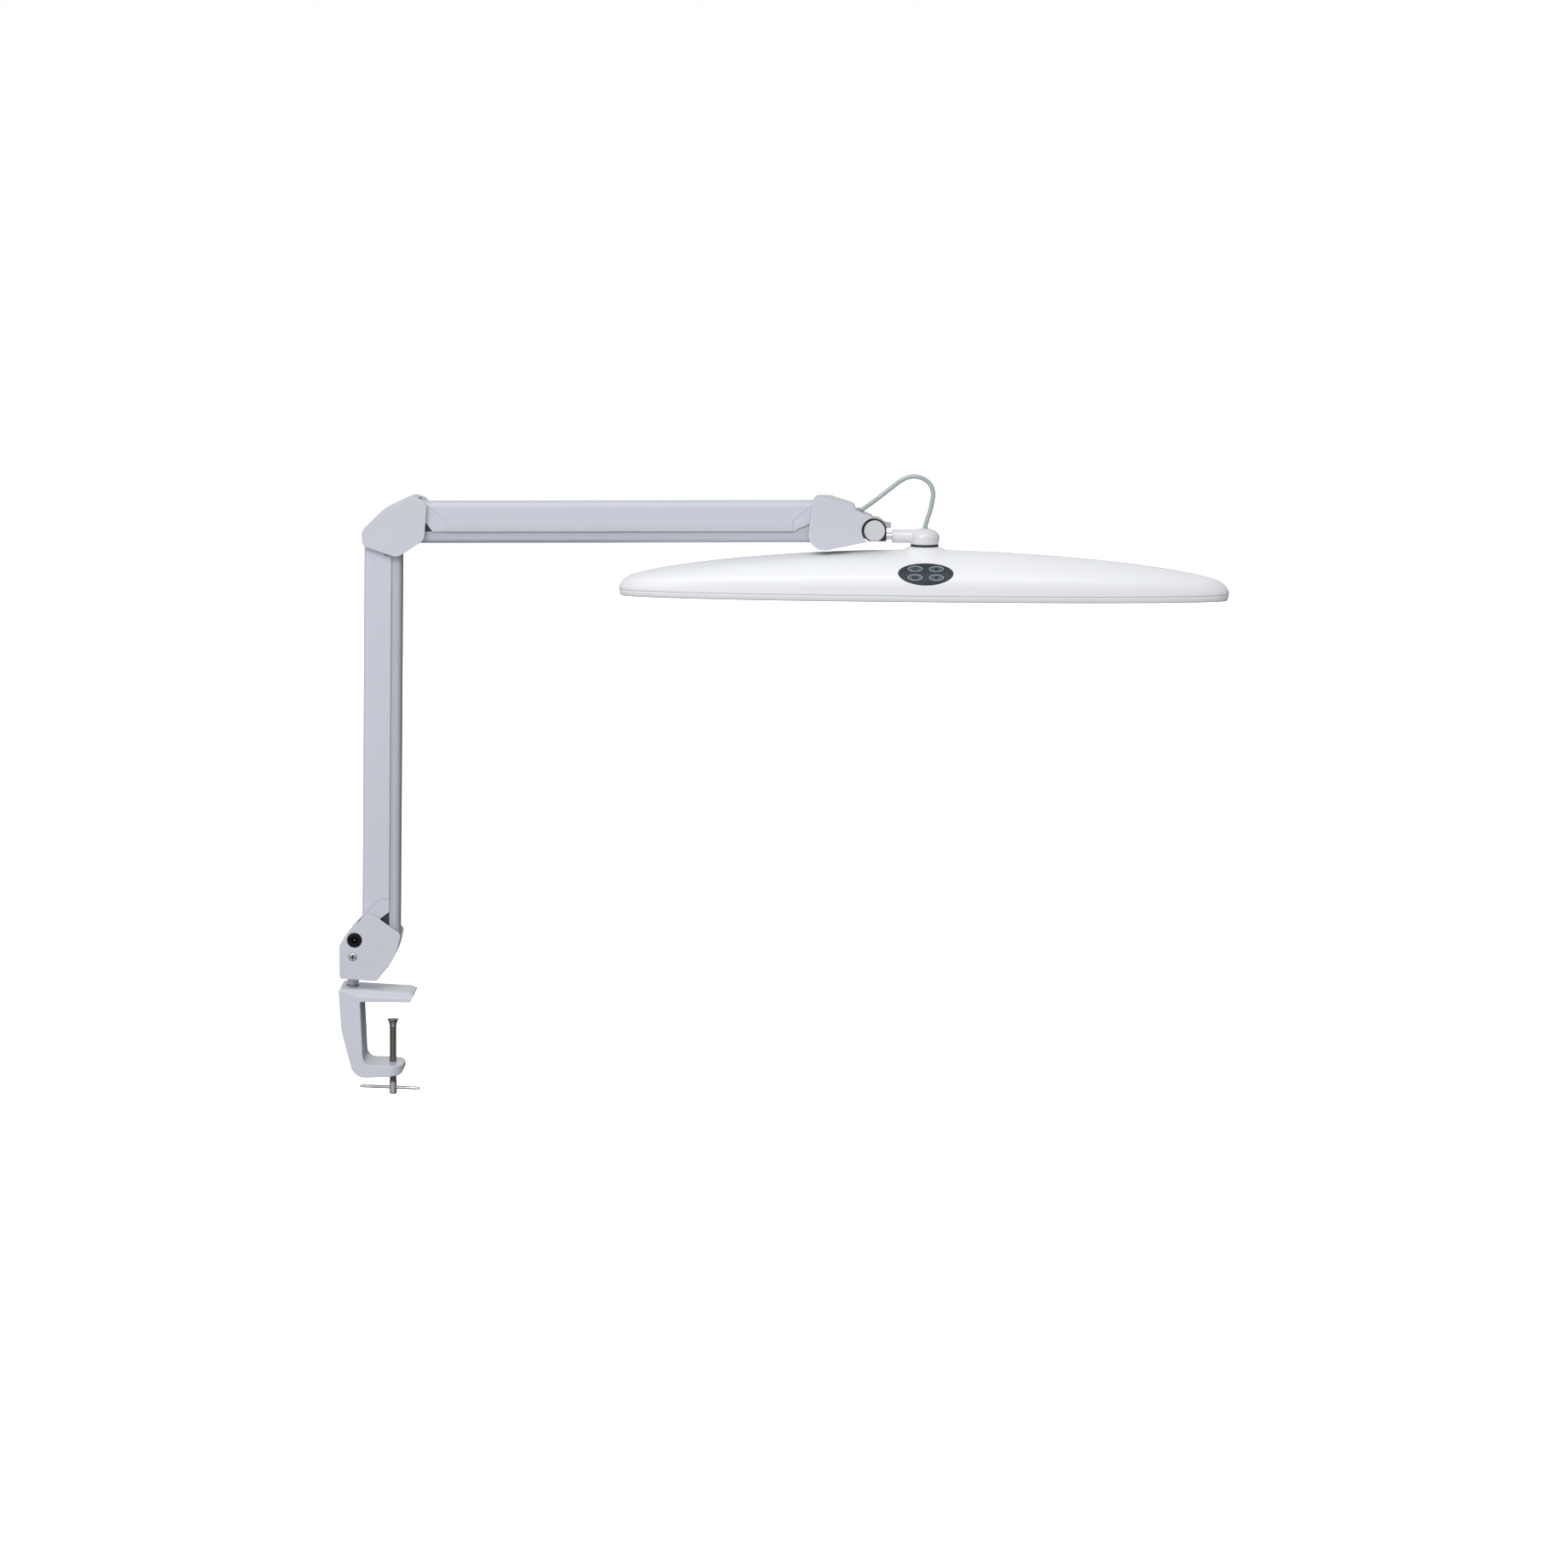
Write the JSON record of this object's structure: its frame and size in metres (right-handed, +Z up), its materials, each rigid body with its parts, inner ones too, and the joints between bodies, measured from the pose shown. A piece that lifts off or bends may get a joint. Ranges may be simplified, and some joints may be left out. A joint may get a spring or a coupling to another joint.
{
  "type": "swing arm desk lamp",
  "caption": "White swing arm desk lamp: edge clamp, two parallel-link arms with covered knuckles, long oval LED head on a tilt, roll and swivel joint with a looped lead.",
  "frame": {"origin": "centre of the clamp's upper jaw face, where it rests on the desk top", "axes": "+X from the clamp towards the head, +Y away from the keypad side, +Z up"},
  "size_m": [0.8302, 0.0883, 0.5919],
  "materials": {
    "clamp_paint": "gloss",
    "knuckle_plastic": "satin",
    "arm_paint": "satin",
    "link_paint": "satin",
    "bush_plastic": "matte",
    "screw_steel": "polished",
    "black_plastic": "matte",
    "spring_steel": "satin",
    "rod_chrome": "polished",
    "contact_brass": "polished",
    "cable_grey": "satin",
    "grommet_grey": "matte",
    "joint_white": "gloss",
    "canopy_white": "semi-gloss",
    "diffuser_opal": "matte",
    "board_white": "satin",
    "led_phosphor": "gloss",
    "pcb_green": "satin",
    "panel_slate": "satin",
    "key_slate": "satin"
  },
  "bodies": {
    "clamp": {"clamp_body": "clamp_paint", "spigot_bush": "bush_plastic"},
    "pad": {"pressure_pad": "screw_steel"},
    "screw": {"clamp_screw": "screw_steel"},
    "bar": {"tommy_bar": "screw_steel"},
    "base": {"base_bracket": "knuckle_plastic", "base_cover_front": "knuckle_plastic", "base_cover_back": "knuckle_plastic", "base_cover_screws": "screw_steel", "dc_socket": "black_plastic", "dc_pin": "contact_brass", "base_pivot_pins": "spring_steel", "base_lead": "cable_grey"},
    "lower_arm": {"lower_outer_channel": "arm_paint", "lower_spring": "spring_steel", "lower_spring_anchor": "spring_steel", "lower_lead": "cable_grey"},
    "lower_link": {"lower_inner_channel": "link_paint", "lower_link_anchor": "spring_steel"},
    "elbow": {"elbow_bracket": "knuckle_plastic", "elbow_cover_front": "knuckle_plastic", "elbow_cover_back": "knuckle_plastic", "elbow_pivot_pins": "spring_steel", "elbow_lead": "cable_grey"},
    "upper_arm": {"upper_outer_channel": "arm_paint", "upper_spring": "spring_steel", "upper_spring_anchor": "spring_steel", "upper_lead": "cable_grey"},
    "upper_link": {"upper_inner_channel": "link_paint", "upper_link_anchor": "spring_steel"},
    "head_knuckle": {"head_bracket": "knuckle_plastic", "head_cover_front": "knuckle_plastic", "head_cover_back": "knuckle_plastic", "head_pivot_pins": "spring_steel", "cable_grommet": "grommet_grey", "head_cable": "cable_grey", "tilt_bolt": "spring_steel"},
    "lever": {"lock_lever": "joint_white"},
    "tilt": {"tilt_block": "black_plastic", "tilt_cap": "joint_white", "head_rod": "rod_chrome"},
    "roll": {"swivel_housing": "joint_white", "swivel_post": "spring_steel", "swivel_washer": "black_plastic", "swivel_nut": "screw_steel"},
    "head": {"canopy": "canopy_white", "canopy_rim": "canopy_white", "diffuser": "diffuser_opal", "led_board": "board_white", "leds": "led_phosphor", "driver_board": "pcb_green", "canopy_lead": "cable_grey", "keypad_panel": "panel_slate", "keypad_board": "pcb_green", "canopy_screws": "screw_steel"},
    "power_key": {"key_power": "key_slate"},
    "up_key": {"key_up": "key_slate"},
    "mode_key": {"key_mode": "key_slate"},
    "down_key": {"key_down": "key_slate"}
  },
  "joints": [
    {"name": "pad_travel", "type": "slide", "parent": "clamp", "child": "pad", "axis": [0, 0, 1], "range_m": [-0.036, 0.01]},
    {"name": "screw_turn", "type": "hinge", "parent": "pad", "child": "screw", "pos_m": [0.0054, 0, -0.03], "axis": [0, 0, 1], "range_deg": [-10400, 2900]},
    {"name": "bar_slide", "type": "slide", "parent": "screw", "child": "bar", "axis": [0.9903, -0.1392, 0], "range_m": [-0.019, 0.025]},
    {"name": "base_swivel", "type": "hinge", "parent": "clamp", "child": "base", "pos_m": [-0.032, 0, 0.012], "axis": [0, 0, 1], "continuous": true},
    {"name": "lower_arm_lean", "type": "hinge", "parent": "base", "child": "lower_arm", "pos_m": [-0.014, 0, 0.071], "axis": [0, 1, 0], "range_deg": [-20, 50], "deforming": ["lower_spring"]},
    {"name": "lower_link_lean", "type": "hinge", "parent": "base", "child": "lower_link", "pos_m": [0.0044, 0, 0.063], "axis": [0, 1, 0], "range_deg": [-20, 50]},
    {"name": "elbow_level", "type": "hinge", "parent": "lower_arm", "child": "elbow", "pos_m": [-0.0108, 0, 0.43799], "axis": [0, 1, 0], "range_deg": [-50, 20]},
    {"name": "upper_arm_drop", "type": "hinge", "parent": "elbow", "child": "upper_arm", "pos_m": [0.0292, 0, 0.45999], "axis": [0, 1, 0], "range_deg": [-8, 40], "deforming": ["upper_spring"]},
    {"name": "upper_link_drop", "type": "hinge", "parent": "elbow", "child": "upper_link", "pos_m": [0.0246, 0, 0.43979], "axis": [0, 1, 0], "range_deg": [-8, 40]},
    {"name": "head_level", "type": "hinge", "parent": "upper_arm", "child": "head_knuckle", "pos_m": [0.40718, 0, 0.46394], "axis": [0, 1, 0], "range_deg": [-40, 8]},
    {"name": "lever_turn", "type": "hinge", "parent": "head_knuckle", "child": "lever", "pos_m": [0.45518, 0.016, 0.44774], "axis": [0, -1, 0], "range_deg": [0, 60]},
    {"name": "head_tilt", "type": "hinge", "parent": "head_knuckle", "child": "tilt", "pos_m": [0.45518, 0, 0.44774], "axis": [0, -1, 0], "range_deg": [0, 75], "deforming": ["head_cable"]},
    {"name": "head_roll", "type": "hinge", "parent": "tilt", "child": "roll", "pos_m": [0.47718, 0, 0.44164], "axis": [1, 0, 0], "range_deg": [-8, 8], "deforming": ["head_cable"]},
    {"name": "head_swivel", "type": "hinge", "parent": "roll", "child": "head", "pos_m": [0.50198, 0, 0.43224], "axis": [0, 0, 1], "range_deg": [-170, 170]},
    {"name": "key_power_press", "type": "slide", "parent": "head", "child": "power_key", "axis": [0, 0.8572, -0.515], "range_m": [0, 0.0006], "stiffness_N_per_m": 400, "springref_m": -0.0005},
    {"name": "key_up_press", "type": "slide", "parent": "head", "child": "up_key", "axis": [0, 0.8572, -0.515], "range_m": [0, 0.0006], "stiffness_N_per_m": 400, "springref_m": -0.0005},
    {"name": "key_mode_press", "type": "slide", "parent": "head", "child": "mode_key", "axis": [0, 0.8572, -0.515], "range_m": [0, 0.0006], "stiffness_N_per_m": 400, "springref_m": -0.0005},
    {"name": "key_down_press", "type": "slide", "parent": "head", "child": "down_key", "axis": [0, 0.8572, -0.515], "range_m": [0, 0.0006], "stiffness_N_per_m": 400, "springref_m": -0.0005}
  ],
  "couplings": [
    {"joint": "screw_turn", "follows": "pad_travel", "rad_per_m": 5026.6},
    {"joint": "lower_link_lean", "follows": "lower_arm_lean", "ratio": 1},
    {"joint": "elbow_level", "follows": "lower_arm_lean", "ratio": -1},
    {"joint": "upper_link_drop", "follows": "upper_arm_drop", "ratio": 1},
    {"joint": "head_level", "follows": "upper_arm_drop", "ratio": -1}
  ]
}
